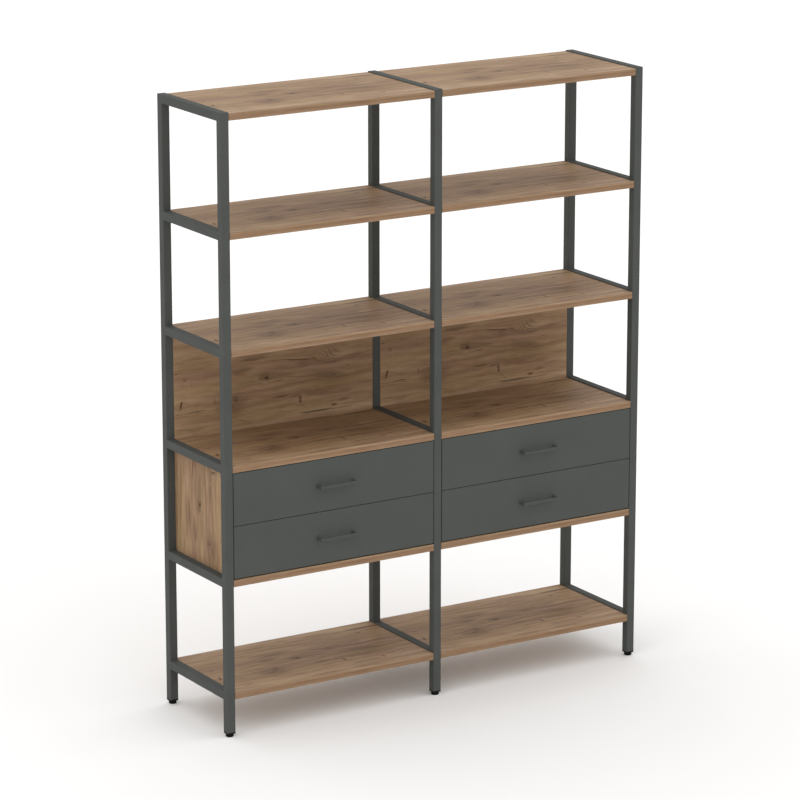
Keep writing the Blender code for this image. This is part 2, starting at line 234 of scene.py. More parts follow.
def tab(x_face, hand, y, underside):
    """One tab on a frame's face, reaching out along hand, with its weld bead."""
    centre = (x_face + hand * TAB_REACH / 2, y, underside)
    bm = punched_plate(centre, TAB_REACH / 2, TAB_LENGTH / 2, TAB_HOLE, TAB_THICK)
    tip = x_face + hand * TAB_REACH
    corners = [
        edge for edge in bm.edges
        if all(abs(vert.co.x - tip) < SAME_PLACE and abs(abs(vert.co.y - y) - TAB_LENGTH / 2) < SAME_PLACE
               for vert in edge.verts)]
    round_edges(bm, TAB_CORNER, CORNER_SEGMENTS, corners)
    bead = bmesh.new()
    bmesh.ops.create_cone(
        bead, cap_ends=True, segments=BEAD_SIDES, radius1=BEAD, radius2=BEAD, depth=TAB_LENGTH - 4 * BEAD,
        matrix=Matrix.Translation((x_face, y, underside)) @ Matrix.Rotation(math.pi / 2, 4, "X"))
    caps = [face for face in bead.faces if abs(face.normal.y) > 0.9]
    for cap in caps:
        push = cap.normal * BEAD
        end = bmesh.ops.extrude_discrete_faces(bead, faces=[cap])["faces"][0]
        about = Matrix.Translation(-end.calc_center_median())
        bmesh.ops.scale(bead, verts=end.verts, vec=(BEAD_TAPER, 1.0, BEAD_TAPER), space=about)
        bmesh.ops.translate(bead, verts=end.verts, vec=push)
    join(bm, bead)
    return bm


def tab_spots(side):
    """Where the tabs of a frame are: the frame's face, the way they reach, y and underside."""
    reach = TUBE + TAB_INSET + TAB_LENGTH / 2
    for hand in BAYS.values():
        if hand != side:
            for top in BOARD_TOPS:
                for y in (FRONT_Y + reach, BACK_Y - reach):
                    face = side * FRAME_SPACING + hand * TUBE / 2
                    yield face, hand, y, top - BOARD_THICK - GAP - TAB_THICK


for side_name, side in FRAMES.items():
    tabs = bmesh.new()
    for spot in tab_spots(side):
        join(tabs, tab(*spot))
    add_piece("board_tabs_" + side_name, tabs, [POWDER_COAT], "carcass")

# Feet
# One black moulded plug closes each post: a ribbed insert inside the tube, a square flange as wide as the
# tube, and under it a round glide that rolls in to a flat sole 19 mm across.
FOOT_FLANGE, FLANGE_EDGE = 4 * MM, 0.4 * MM
FOOT_INSERT, INSERT_RIBS = 22 * MM, 4
RIB_START, RIB_DEPTH, RIB_THICK, RIB_EDGE = 0.7, 2.5 * MM, 1.2 * MM, 0.3 * MM
EDGE_SEGMENTS = 2
GLIDE_RADIUS, GLIDE_WAIST, SOLE_RADIUS = 11.8 * MM, 11.2 * MM, 9.5 * MM
GLIDE_LAP, GLIDE_LIP = 1 * MM, 0.4 * MM
GLIDE_ROUND, GLIDE_ROUND_STEPS = 2.2 * MM, 6
GLIDE_SIDES = 40


def moulded_polyethylene(tree, place):
    """Injection-moulded black polyethylene: near black, with a waxy half gloss and the fine grain of the
    mould, about 0.8 mm from speck to speck."""
    grain = add_node(tree, "TexNoise", {"Vector": place, "Scale": 1 / (0.8 * MM), "Detail": 4.0})
    return {
        "Base Color": add_node(tree, "ValToRGB", {"Fac": grain}, stops=((0.3, "#0c0c0b"), (0.8, "#151514"))),
        "Roughness": add_node(tree, "MapRange", {"Value": grain, "To Min": 0.45, "To Max": 0.60}),
        "Normal": add_node(tree, "Bump", {"Height": grain, "Distance": 0.04 * MM, "Strength": 0.5}),
        "IOR": 1.5, "Specular IOR Level": 0.08}


def turned(profile, sides, centre, along="Z"):
    """Spins a profile of (radius, height) points round a line through the centre, upright or along X."""
    bm = bmesh.new()
    verts = [bm.verts.new((radius, 0.0, height)) for radius, height in profile]
    edges = [bm.edges.new(pair) for pair in zip(verts, verts[1:])]
    bmesh.ops.spin(
        bm, geom=verts + edges, cent=(0, 0, 0), axis=(0, 0, 1), angle=2 * math.pi, steps=sides,
        use_merge=True)
    bmesh.ops.remove_doubles(bm, verts=bm.verts, dist=0.001 * MM)
    bmesh.ops.recalc_face_normals(bm, faces=bm.faces)
    turn = Matrix.Rotation(math.pi / 2, 4, "Y") if along == "X" else Matrix.Identity(4)
    bmesh.ops.transform(bm, matrix=Matrix.Translation(centre) @ turn, verts=bm.verts)
    return bm


def block(low, high):
    """A cube stretched between two corners."""
    bm = bmesh.new()
    low, high = Vector(low), Vector(high)
    place = Matrix.Translation((low + high) / 2) @ Matrix.Diagonal((*(high - low), 1.0))
    bmesh.ops.create_cube(bm, size=1.0, matrix=place)
    return bm


def foot(x, y):
    """The plug of one post: its flange, the glide under it and the ribbed insert in the tube."""
    flange_top = TUBE_END_Z - GAP
    glide_top = flange_top - FOOT_FLANGE
    half = TUBE / 2
    bm = block((x - half, y - half, glide_top), (x + half, y + half, flange_top))
    uprights = [edge for edge in bm.edges if abs(edge.verts[0].co.z - edge.verts[1].co.z) > MM]
    round_edges(bm, TUBE_CORNER, CORNER_SEGMENTS, uprights)
    round_edges(bm, FLANGE_EDGE, EDGE_SEGMENTS)
    profile = [
        (0.0, glide_top + GLIDE_LAP), (GLIDE_RADIUS, glide_top + GLIDE_LAP),
        (GLIDE_RADIUS, glide_top - GLIDE_LIP), (GLIDE_RADIUS - GLIDE_LIP, glide_top - 2 * GLIDE_LIP),
        (GLIDE_WAIST, GLIDE_ROUND)]
    reach = GLIDE_WAIST - SOLE_RADIUS
    for step in range(1, GLIDE_ROUND_STEPS + 1):
        angle = step * math.pi / (2 * GLIDE_ROUND_STEPS)
        profile.append((SOLE_RADIUS + reach * math.cos(angle), GLIDE_ROUND * (1 - math.sin(angle))))
    profile.append((0.0, 0.0))
    join(bm, turned(profile, GLIDE_SIDES, (x, y, 0.0)))
    inside = half - TUBE_WALL - GAP
    core = inside - RIB_DEPTH
    join(bm, block((x - core, y - core, flange_top), (x + core, y + core, flange_top + FOOT_INSERT)))
    for rib in range(INSERT_RIBS):
        z = flange_top + (rib + RIB_START) * FOOT_INSERT / INSERT_RIBS
        fin = block((x - inside, y - inside, z), (x + inside, y + inside, z + RIB_THICK))
        round_edges(fin, RIB_EDGE, EDGE_SEGMENTS)
        join(bm, fin)
    return bm


POLYETHYLENE = make_finish("moulded_polyethylene", moulded_polyethylene)
for side_name, side in FRAMES.items():
    for post_name, y in (("front", FRONT_Y + TUBE / 2), ("rear", BACK_Y - TUBE / 2)):
        add_piece(
            "plug_foot_{}_{}".format(side_name, post_name), foot(side * FRAME_SPACING, y), [POLYETHYLENE],
            "carcass", "foot_{}_{}".format(side_name, post_name))

# Boards
# Six boards a bay are 20 mm chipboard faced with printed oak melamine, with knots and dry cracks in the
# print. Their edges are banded with a printed ABS strip rounded at both arrises. All come from the same
# print, so each shows the same figure, as laid out below in metres along and across the grain.
ARRIS, ARRIS_SEGMENTS = 0.8 * MM, 4
# A board's other face and its edges show other stretches of the print
OTHER_FACE_SHIFT = Vector((0.9, 0.55))
EDGE_SHIFT = 1.7
# Knots and stains: place, half length and half width, tilt in degrees, darkness
KNOTS = (
    (0.0225, 0.1295, 0.0080, 0.0025, 66, 0.80), (0.190, 0.115, 0.042, 0.018, 5, 0.30),
    (0.181, 0.108, 0.014, 0.006, 12, 0.50), (0.200, 0.121, 0.005, 0.011, 20, 0.50),
    (0.3025, 0.1745, 0.0062, 0.0026, -4, 0.95), (0.300, 0.1745, 0.020, 0.0062, -4, 0.45),
    (0.345, 0.1735, 0.040, 0.0055, -5, 0.34), (0.330, 0.1610, 0.024, 0.0028, -4, 0.40),
    (0.4150, 0.0915, 0.0024, 0.0042, 8, 0.62), (0.4130, 0.0960, 0.0055, 0.0100, 8, 0.30),
    (0.5275, 0.0620, 0.0085, 0.0030, 4, 0.60), (0.1315, 0.1295, 0.0015, 0.009, 2, 0.45),
    (0.573, 0.283, 0.006, 0.004, 0, 0.50), (0.035, 0.1995, 0.005, 0.004, 0, 0.35),
    (0.0575, 0.1835, 0.002, 0.0014, 0, 0.55), (0.515, 0.155, 0.048, 0.008, -7, 0.32),
    (0.528, 0.1545, 0.009, 0.0025, -10, 0.55), (0.560, 0.0755, 0.015, 0.0040, 0, 0.35),
    (0.255, 0.2300, 0.036, 0.0050, 3, 0.38), (0.225, 0.2020, 0.030, 0.0060, 2, 0.30),
    (0.615, 0.312, 0.055, 0.006, -2, 0.42), (0.255, 0.243, 0.050, 0.006, -3, 0.26),
    (0.250, 0.166, 0.045, 0.0060, -2, 0.28), (0.470, 0.049, 0.050, 0.0055, -1, 0.34))
# Dry cracks: both ends, greatest width in millimetres, darkness
CRACKS = (
    (0.002, 0.1050, 0.075, 0.1035, 1.3, 0.72), (0.055, 0.1060, 0.104, 0.1065, 1.4, 0.78),
    (0.066, 0.1015, 0.096, 0.0995, 1.2, 0.60), (0.290, 0.2220, 0.355, 0.2180, 0.9, 0.50),
    (0.346, 0.2190, 0.442, 0.2095, 1.5, 0.85), (0.453, 0.2130, 0.469, 0.2115, 1.4, 0.70),
    (0.318, 0.1080, 0.374, 0.1090, 1.5, 0.78), (0.383, 0.1045, 0.410, 0.1020, 1.4, 0.70),
    (0.412, 0.0990, 0.417, 0.0850, 1.2, 0.60), (0.430, 0.0500, 0.525, 0.0490, 1.9, 0.88),
    (0.505, 0.0480, 0.605, 0.0475, 1.2, 0.68), (0.310, 0.1700, 0.352, 0.1660, 1.0, 0.50),
    (0.340, 0.1680, 0.530, 0.1470, 1.7, 0.34), (0.568, 0.1760, 0.582, 0.1745, 1.2, 0.55),
    (0.000, 0.2230, 0.015, 0.2230, 1.3, 0.75), (0.010, 0.0560, 0.060, 0.0540, 1.0, 0.40),
    (0.205, 0.0620, 0.235, 0.0560, 1.2, 0.45), (0.566, 0.3150, 0.665, 0.3120, 1.5, 0.66),
    (0.440, 0.0190, 0.500, 0.0160, 1.4, 0.50), (0.120, 0.2960, 0.190, 0.2940, 1.0, 0.35),
    (0.030, 0.2600, 0.100, 0.2570, 1.2, 0.35), (0.417, 0.0820, 0.445, 0.0560, 1.2, 0.40))
# Rings round a grown-over branch and round an eye: centre and half size, then where they show and how darkly
RINGS = (
    (0.560, 0.262, 0.120, 0.075, 0.518, 0.208, 0.060, 0.028, 0.80),
    (0.190, 0.115, 0.022, 0.018, 0.199, 0.124, 0.017, 0.014, 0.80))
RING_STEP, RING_RAGGED = 6.5 * MM, 3.2
# How ragged a knot or crack is, then its rim and its heart as shares of its half size
KNOT_RAGGED, KNOT_RIM, KNOT_HEART = 0.9, 1.65, 0.65
CRACK_RAGGED, CRACK_RIM, CRACK_HEART = 0.8, 1.5, 0.5
CRACK_DARKNESS = 0.86
# Places where the grain swells round a knot or the branch: centre, half size, push
SWELLS = (
    (0.190, 0.116, 0.060, 0.040, 0.55), (0.515, 0.225, 0.080, 0.050, 0.80),
    (0.3025, 0.1745, 0.060, 0.025, 0.50), (0.4155, 0.092, 0.030, 0.040, 0.45),
    (0.0225, 0.129, 0.035, 0.030, 0.50))


def streaks(tree, place, length, width, detail, shift):
    """Noise drawn out along the grain, with streaks of about this length and width."""
    stretched = add_node(
        tree, "Mapping",
        {"Vector": place, "Scale": (1 / length, 1 / width, 1.0), "Location": (shift, shift, 0.0)})
    return add_node(
        tree, "TexNoise", {"Vector": stretched, "Scale": 1.0, "Detail": detail}, noise_dimensions="2D")


def oval(tree, place, x, y, half_length, half_width, tilt=0.0):
    """The place as seen from an oval's middle, where 1 is its rim, and its distance from there."""
    local = add_node(
        tree, "Mapping",
        {"Vector": place, "Location": (x, y, 0.0), "Rotation": (0.0, 0.0, tilt),
         "Scale": (half_length, half_width, 1.0)}, vector_type="TEXTURE")
    return local, add_node(tree, "VectorMath", {0: local}, "Value", operation="LENGTH")


def swollen_grain(tree, place):
    """The place on the print, pushed so that the grain waves a little and runs round the knots."""
    wave = streaks(tree, place, 300 * MM, 90 * MM, detail=2.0, shift=3.1)
    ripple = streaks(tree, place, 35 * MM, 20 * MM, detail=2.0, shift=7.7)
    rise = add_node(tree, "Math", {0: wave, 1: 22 * MM, 2: -11 * MM}, operation="MULTIPLY_ADD")
    rise = add_node(tree, "Math", {0: ripple, 1: 3 * MM, 2: rise}, operation="MULTIPLY_ADD")
    lift = add_node(tree, "CombineXYZ", {"Y": rise})
    place = add_node(tree, "VectorMath", {0: place, 1: lift})
    for x, y, half_length, half_width, push in SWELLS:
        local, distance = oval(tree, place, x, y, half_length, half_width)
        weight = add_node(
            tree, "MapRange",
            {"Value": distance, "From Min": 1.0, "From Max": 0.0, "To Max": -push * half_width},
            interpolation_type="SMOOTHSTEP")
        squeeze = add_node(tree, "VectorMath", {0: local, 1: (0.0, 1.0, 0.0)}, operation="MULTIPLY")
        moved = add_node(tree, "VectorMath", {0: squeeze, "Scale": weight}, operation="SCALE")
        place = add_node(tree, "VectorMath", {0: place, 1: moved})
    return place


def knot_marks(tree, place, ragged):
    """How dark the knots and the soft mineral clouds round them are."""
    marks = 0.0
    for x, y, half_length, half_width, tilt, darkness in KNOTS:
        _, distance = oval(tree, place, x, y, half_length, half_width, math.radians(tilt))
        distance = add_node(tree, "Math", {0: ragged, 1: KNOT_RAGGED, 2: distance}, operation="MULTIPLY_ADD")
        mark = add_node(
            tree, "MapRange",
            {"Value": distance, "From Min": KNOT_RIM, "From Max": KNOT_HEART, "To Max": darkness},
            interpolation_type="SMOOTHSTEP")
        marks = add_node(tree, "Math", {0: mark, 1: marks}, operation="MAXIMUM")
    return marks


def crack_marks(tree, place, ragged):
    """How dark the dry cracks and the rings are."""
    marks = 0.0
    for x0, y0, x1, y1, width, darkness in CRACKS:
        length, tilt = math.hypot(x1 - x0, y1 - y0), math.atan2(y1 - y0, x1 - x0)
        _, distance = oval(tree, place, (x0 + x1) / 2, (y0 + y1) / 2, length / 2, width * MM, tilt)
        distance = add_node(tree, "Math", {0: ragged, 1: CRACK_RAGGED, 2: distance}, operation="MULTIPLY_ADD")
        mark = add_node(
            tree, "MapRange",
            {"Value": distance, "From Min": CRACK_RIM, "From Max": CRACK_HEART,
             "To Max": CRACK_DARKNESS * darkness}, interpolation_type="SMOOTHSTEP")
        marks = add_node(tree, "Math", {0: mark, 1: marks}, operation="MAXIMUM")
    for x, y, half_length, half_width, near_x, near_y, reach, reach_up, darkness in RINGS:
        _, distance = oval(tree, place, x, y, half_length, half_width)
        _, from_place = oval(tree, place, near_x, near_y, reach, reach_up)
        turns = add_node(
            tree, "Math", {0: distance, 1: 2 * math.pi * half_width / RING_STEP}, operation="MULTIPLY")
        turns = add_node(tree, "Math", {0: ragged, 1: RING_RAGGED, 2: turns}, operation="MULTIPLY_ADD")
        wave = add_node(tree, "Math", {0: turns}, operation="SINE")
        mark = add_node(
            tree, "MapRange", {"Value": wave, "From Min": 0.2, "To Max": darkness},
            interpolation_type="SMOOTHSTEP")
        shown = add_node(
            tree, "MapRange", {"Value": from_place, "From Min": 1.0, "From Max": 0.1},
            interpolation_type="SMOOTHSTEP")
        mark = add_node(tree, "Math", {0: mark, 1: shown}, operation="MULTIPLY")
        marks = add_node(tree, "Math", {0: mark, 1: marks}, operation="MAXIMUM")
    return marks


def oak_melamine(tree, place):
    """Oak print under matt melamine: pinkish-brown and yellowish tan streaks along the grain, dark mineral
    clouds, knots and dry cracks, and pores pressed into the surface. Real pores are about 0.3 by 5 mm, too
    fine to show in the render, so they are drawn as fibres of about 1 by 45 mm."""
    sheet = add_node(tree, "UVMap", {}, uv_map="sheet")
    grain = swollen_grain(tree, sheet)
    broad = streaks(tree, grain, 750 * MM, 60 * MM, detail=2.0, shift=0.0)
    plank = streaks(tree, grain, 200 * MM, 17 * MM, detail=1.5, shift=4.0)
    fine = streaks(tree, grain, 160 * MM, 3.5 * MM, detail=4.0, shift=9.0)
    fibre = streaks(tree, grain, 45 * MM, 1.1 * MM, detail=3.0, shift=2.0)
    tint = streaks(tree, grain, 350 * MM, 45 * MM, detail=2.0, shift=13.0)
    cloud = streaks(tree, grain, 130 * MM, 22 * MM, detail=4.0, shift=21.0)
    ragged = streaks(tree, sheet, 12 * MM, 4 * MM, detail=3.0, shift=17.0)
    ragged = add_node(tree, "Math", {0: ragged, 1: 0.5}, operation="SUBTRACT")
    tone = -0.45
    for pattern, share in ((broad, 0.9), (plank, 0.8), (fine, 0.2)):
        tone = add_node(tree, "Math", {0: pattern, 1: share, 2: tone}, operation="MULTIPLY_ADD")
    tan = add_node(
        tree, "ValToRGB", {"Fac": tone}, stops=((0.15, "#8f7556"), (0.85, "#bba27f"), (0.5, "#a78c6a")))
    pink = add_node(
        tree, "ValToRGB", {"Fac": tone}, stops=((0.15, "#896d56"), (0.85, "#b79c80"), (0.5, "#a3856c")))
    across = add_node(tree, "SeparateXYZ", {"Vector": grain}, "Y")
    across = add_node(tree, "Math", {0: across, 1: 1 / (400 * MM)}, operation="MULTIPLY")
    zones = add_node(
        tree, "ValToRGB", {"Fac": across},
        stops=((0.0, "#ffffff"), (1.0, "#ece9e5"), (0.07, "#ffffff"), (0.16, "#faf8f5"), (0.31, "#ede9e5"),
               (0.57, "#e8e3e0"), (0.76, "#f2f0ee")))
    shade = add_node(tree, "ValToRGB", {"Fac": cloud}, stops=((0.55, "#ffffff"), (0.85, "#bdb0a7")))
    pores = add_node(tree, "ValToRGB", {"Fac": fibre}, stops=((0.30, "#d3cac3"), (0.50, "#ffffff")))
    tint = add_node(tree, "MapRange", {"Value": tint, "To Min": -0.6, "To Max": 1.6})
    colour = add_node(tree, "Mix", {0: tint, 6: tan, 7: pink}, 2, data_type="RGBA")
    for share, pattern in ((1.0, zones), (0.7, shade), (0.6, pores)):
        colour = add_node(
            tree, "Mix", {0: share, 6: colour, 7: pattern}, 2, data_type="RGBA", blend_type="MULTIPLY")
    streaky = add_node(
        tree, "MapRange", {"Value": fine, "From Min": 0.25, "From Max": 0.75, "To Min": 0.35, "To Max": 1.65})
    knots = knot_marks(tree, grain, ragged)
    knots = add_node(tree, "Math", {0: knots, 1: streaky}, operation="MULTIPLY", use_clamp=True)
    cracks = crack_marks(tree, grain, ragged)
    colour = add_node(tree, "Mix", {0: knots, 6: colour, 7: linear("#3f2a1c")}, 2, data_type="RGBA")
    colour = add_node(tree, "Mix", {0: cracks, 6: colour, 7: linear("#2a1d14")}, 2, data_type="RGBA")
    return {
        "Base Color": colour,
        "Roughness": add_node(tree, "MapRange", {"Value": fibre, "To Min": 0.62, "To Max": 0.50}),
        "Normal": add_node(tree, "Bump", {"Height": fibre, "Distance": 0.05 * MM, "Strength": 0.5}),
        "IOR": 1.45, "Specular IOR Level": 0.15}


def oak_edging(tree, place):
    """Printed ABS strip: an oak print in long even lines, more orange than the faces, paler towards both
    arrises and darker in the middle of its width. Its map runs in metres along the strip, and from 0 to 1
    across it."""
    sheet = add_node(tree, "UVMap", {}, uv_map="sheet")
    lines = streaks(tree, sheet, 900 * MM, 0.22, detail=2.0, shift=31.0)
    fine = streaks(tree, sheet, 120 * MM, 0.045, detail=3.0, shift=37.0)
    blots = streaks(tree, sheet, 90 * MM, 0.30, detail=2.0, shift=41.0)
    up = add_node(tree, "SeparateXYZ", {"Vector": sheet}, "Y")
    # Paler towards both arrises, darkest a little below the middle of the strip's width
    colour = add_node(
        tree, "ValToRGB", {"Fac": up},
        stops=((0.0, "#9c8369"), (1.0, "#a48c73"), (0.25, "#997d63"), (0.45, "#92755a"), (0.65, "#987c60"),
               (0.8, "#997e63")))
    for share, pattern, dark in ((0.8, lines, "#e0d6cd"), (0.6, fine, "#dcd2c9"), (0.5, blots, "#d8cabd")):
        pattern = add_node(tree, "ValToRGB", {"Fac": pattern}, stops=((0.3, dark), (0.6, "#ffffff")))
        colour = add_node(
            tree, "Mix", {0: share, 6: colour, 7: pattern}, 2, data_type="RGBA", blend_type="MULTIPLY")
    return {
        "Base Color": colour,
        "Roughness": add_node(tree, "MapRange", {"Value": fine, "To Min": 0.46, "To Max": 0.58}),
        "Normal": add_node(tree, "Bump", {"Height": fine, "Distance": 0.03 * MM, "Strength": 0.4}),
        "IOR": 1.5, "Specular IOR Level": 0.2}


def add_board(name, node, body, face_material, edge_material, grain=0, sheet_start=(0.0, 0.0), show=1):
    """A board in its node's box. grain is the axis that its print runs along, sheet_start is the place on
    the print that lies at its lowest corner, and show is the way its better face looks."""
    low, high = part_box(node)
    size = high - low
    thin = min(range(3), key=lambda axis: size[axis])
    across = 3 - grain - thin
    bm = block(low, high)
    round_edges(bm, ARRIS, ARRIS_SEGMENTS)
    sheet = bm.loops.layers.uv.new("sheet")
    for face in bm.faces:
        is_flat = abs(face.normal[thin]) > 0.999
        face.material_index = 0 if is_flat else 1
        facing = max((axis for axis in range(3) if axis != thin), key=lambda axis: abs(face.normal[axis]))
        along = 3 - facing - thin
        for loop in face.loops:
            place = loop.vert.co - low
            if is_flat:
                spot = Vector((place[grain] + sheet_start[0], place[across] + sheet_start[1]))
                if face.normal[thin] * show < 0:
                    spot += OTHER_FACE_SHIFT
                loop[sheet].uv = spot
            else:
                loop[sheet].uv = (place[along] + EDGE_SHIFT * facing, place[thin] / size[thin])
    return add_piece(name, bm, [face_material, edge_material], body, node)


OAK_FACE = make_finish("oak_print_melamine", oak_melamine)
OAK_EDGE = make_finish("oak_print_edging", oak_edging)
for bay in BAYS:
    for level in range(LEVELS):
        node = "shelf_{}_{}".format(level + 1, bay)
        add_board("board_{}_{}".format(level + 1, bay), node, "carcass", OAK_FACE, OAK_EDGE)

# Board screws
# Zinc-plated steel screws come up through the tabs into the boards, one for each tab, and hold the boards
# down. They have button heads with a hexagon socket.
SCREW_HEAD, SCREW_RISE, SOCKET, SOCKET_DEPTH = 4.2 * MM, 2.2 * MM, 1.5 * MM, 1.3 * MM
SCREW_SHOULDER, SCREW_TOP = 0.93, 0.62  # radii as shares of the head's
SHANK, SHANK_LENGTH = 2.0 * MM, 9 * MM
SCREW_SIDES = 12
HEXAGON_FLAT = math.cos(math.pi / 6)


def zinc_plate(tree, place):
    """Blue passivated zinc on steel: a cool grey metal with a cloudy, half dull plating."""
    cloud = add_node(tree, "TexNoise", {"Vector": place, "Scale": 1 / (4 * MM), "Detail": 4.0})
    grit = add_node(tree, "TexNoise", {"Vector": place, "Scale": 1 / (0.5 * MM)})
    return {
        "Base Color": add_node(tree, "ValToRGB", {"Fac": cloud}, stops=((0.3, "#a9acad"), (0.7, "#c3c6c6"))),
        "Roughness": add_node(tree, "MapRange", {"Value": cloud, "To Min": 0.30, "To Max": 0.48}),
        "Normal": add_node(tree, "Bump", {"Height": grit, "Distance": 0.01 * MM, "Strength": 0.4}),
        "Metallic": 1.0}


def socket_screw(seat, direction, head=SCREW_HEAD, rise=SCREW_RISE, shank_length=SHANK_LENGTH):
    """A screw whose head sits on seat and faces along direction, with its shank the other way."""
    bm = bmesh.new()
    bmesh.ops.create_circle(bm, segments=SCREW_SIDES, radius=SHANK, cap_ends=True)
    bmesh.ops.translate(bm, verts=bm.verts, vec=(0.0, 0.0, -shank_length))
    face = bm.faces[:]
    outline = (
        (SHANK, 0.0), (head, 0.0), (head * SCREW_SHOULDER, rise / 2), (head * SCREW_TOP, rise),
        (SOCKET, rise), (SOCKET, rise - SOCKET_DEPTH))
    for radius, z in outline:
        face = bmesh.ops.extrude_discrete_faces(bm, faces=face)["faces"]
        for index, vert in enumerate(face[0].verts):
            angle = 2 * math.pi * index / SCREW_SIDES
            flat = HEXAGON_FLAT if radius == SOCKET and index % 2 else 1.0
            vert.co = (radius * flat * math.cos(angle), radius * flat * math.sin(angle), z)
    bmesh.ops.recalc_face_normals(bm, faces=bm.faces)
    turn = Vector(direction).to_track_quat("Z", "Y").to_matrix().to_4x4()
    bmesh.ops.transform(bm, matrix=Matrix.Translation(seat) @ turn, verts=bm.verts)
    return bm


ZINC = make_finish("zinc_plated_steel", zinc_plate)
for side_name, side in FRAMES.items():
    screws = bmesh.new()
    for face, hand, y, underside in tab_spots(side):
        join(screws, socket_screw((face + hand * TAB_REACH / 2, y, underside), (0, 0, -1)))
    add_piece("board_screws_" + side_name, screws, [ZINC], "carcass")

# Back panels and drawer housings
# One 16 mm board closes the back of the drawer level and of the open space above it in each bay. Two upright
# panels a bay stand against the frames and carry the drawer runners; their print runs upwards.
# The print's place at the top of the third board, and at a housing's foot in the plane of the fronts
BACK_SHEET_RISE = 32 * MM
HOUSING_SHEET = (130 * MM, -20 * MM)
for bay in BAYS:
    panel = "back_panel_" + bay
    below_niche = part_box("shelf_3_left")[1].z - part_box(panel)[0].z
    add_board(
        "rear_board_" + bay, panel, "carcass", OAK_FACE, OAK_EDGE,
        sheet_start=(0.0, BACK_SHEET_RISE - below_niche), show=-1)
    for hand_name, hand in BAYS.items():
        node = "case_panel_{}_{}".format(bay, hand_name)
        start = (HOUSING_SHEET[0], HOUSING_SHEET[1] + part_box(node)[0].y - FRONT_Y)
        add_board(
            "housing_{}_{}".format(bay, hand_name), node, "carcass", OAK_FACE, OAK_EDGE,
            grain=2, sheet_start=start, show=hand)

# Housing screws
# Zinc-plated furniture screws with hexagon sockets hold each housing panel and rear board from below, three
# to a panel. They go up through the second board, and their flat heads show on its underside.
HOUSING_SCREW_HEAD, HOUSING_SCREW_RISE = 3.8 * MM, 0.8 * MM
HOUSING_SCREW_LENGTH = 45 * MM
HOUSING_SCREW_SPOTS = (0.06, 0.5, 0.94)  # as shares of the panel's length
for bay in BAYS:
    screws = bmesh.new()
    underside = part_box("shelf_2_" + bay)[0].z
    for panel in ("case_panel_{}_left".format(bay), "case_panel_{}_right".format(bay), "back_panel_" + bay):
        low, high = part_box(panel)
        for share in HOUSING_SCREW_SPOTS:
            x, y = (low.x + high.x) / 2, (low.y + high.y) / 2
            if panel.startswith("back"):
                x = low.x + share * (high.x - low.x)
            else:
                y = low.y + share * (high.y - low.y)
            seat = (x, y, underside)
            join(screws, socket_screw(
                seat, (0, 0, -1), HOUSING_SCREW_HEAD, HOUSING_SCREW_RISE, HOUSING_SCREW_LENGTH))
    add_piece("housing_screws_" + bay, screws, [ZINC], "carcass")

# Runners
# A zinc-plated steel angle is screwed to each housing panel, with a nylon roller riveted at its front end.
# The drawer's ledge runs on that roller, and the drawer's own rear roller runs in the angle's track.
STEEL = 1.2 * MM
TRACK = 11.2 * MM  # from the panel to the edge of the angle's foot
STANDOFF = 1.0 * MM  # between a roller and its steel
FOLD_RADIUS, FOLD_SEGMENTS = 0.4 * MM, 3
ROLLER_RADIUS, ROLLER_WIDTH = 8.5 * MM, 6 * MM
ROLLER_INSET = 12 * MM  # from the end of its steel
ROLLER_SIDES = 32
HUB_RIM, GROOVE, GROOVE_SLOPE = 1 * MM, 1 * MM, 0.4 * MM
TYRE, TYRE_EDGE = 1.8 * MM, 0.5 * MM
RIVET, RIVET_HEAD, RIVET_SIDES = 2.5 * MM, 0.7 * MM, 20
LEDGE_HEIGHT = 19.3 * MM  # the ledge's underside above the foot of the drawer's side
LEDGE_ROLLER_HEIGHT = LEDGE_HEIGHT - GAP - ROLLER_RADIUS
RUNNER_SCREWS = (37 * MM, 133 * MM, 261 * MM)
RUNNER_SCREW_HEAD, RUNNER_SCREW_RISE, RUNNER_SCREW_SHANK = 3.4 * MM, 1.3 * MM, 0.9 * MM
RUNNER_SCREW_HEIGHT = 14.5 * MM


def moulded_nylon(tree, place):
    """Moulded nylon: milky white, slightly see-through at its thin rim, with a soft gloss."""
    haze = add_node(tree, "TexNoise", {"Vector": place, "Scale": 1 / (3 * MM)})
    return {
        "Base Color": add_node(tree, "ValToRGB", {"Fac": haze}, stops=((0.3, "#cfccc2"), (0.7, "#dedbd2"))),
        "Roughness": add_node(tree, "MapRange", {"Value": haze, "To Min": 0.30, "To Max": 0.42}),
        "Subsurface Weight": 0.1, "Subsurface Scale": MM, "IOR": 1.53}


